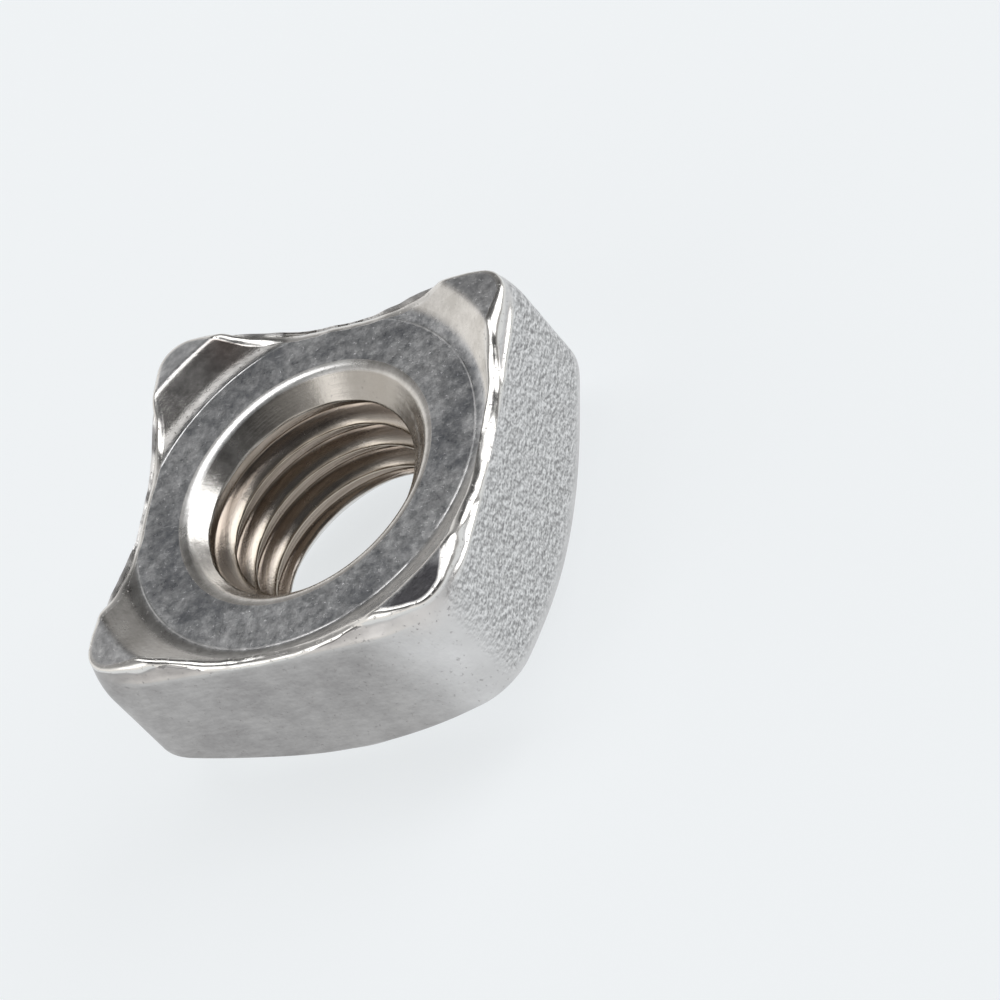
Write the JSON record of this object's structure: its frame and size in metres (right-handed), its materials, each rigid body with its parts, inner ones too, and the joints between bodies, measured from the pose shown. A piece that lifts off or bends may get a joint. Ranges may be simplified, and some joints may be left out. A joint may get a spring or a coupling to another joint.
{
  "type": "square weld nut",
  "caption": "Square steel weld nut with a threaded hole, countersunk at both ends, scooped sides and welding projections on its corners.",
  "frame": {"origin": "centre of the bearing face on the thread axis, where the nut lies on a surface", "axes": "+Z along the thread axis towards the welding projections; X and Y at right angles to the flat sides"},
  "size_m": [0.017, 0.017, 0.0083],
  "materials": {
    "steel": "bare cold-formed steel, satin sides, polished countersink"
  },
  "bodies": {
    "root": {"weld_nut": "steel"}
  },
  "joints": []
}
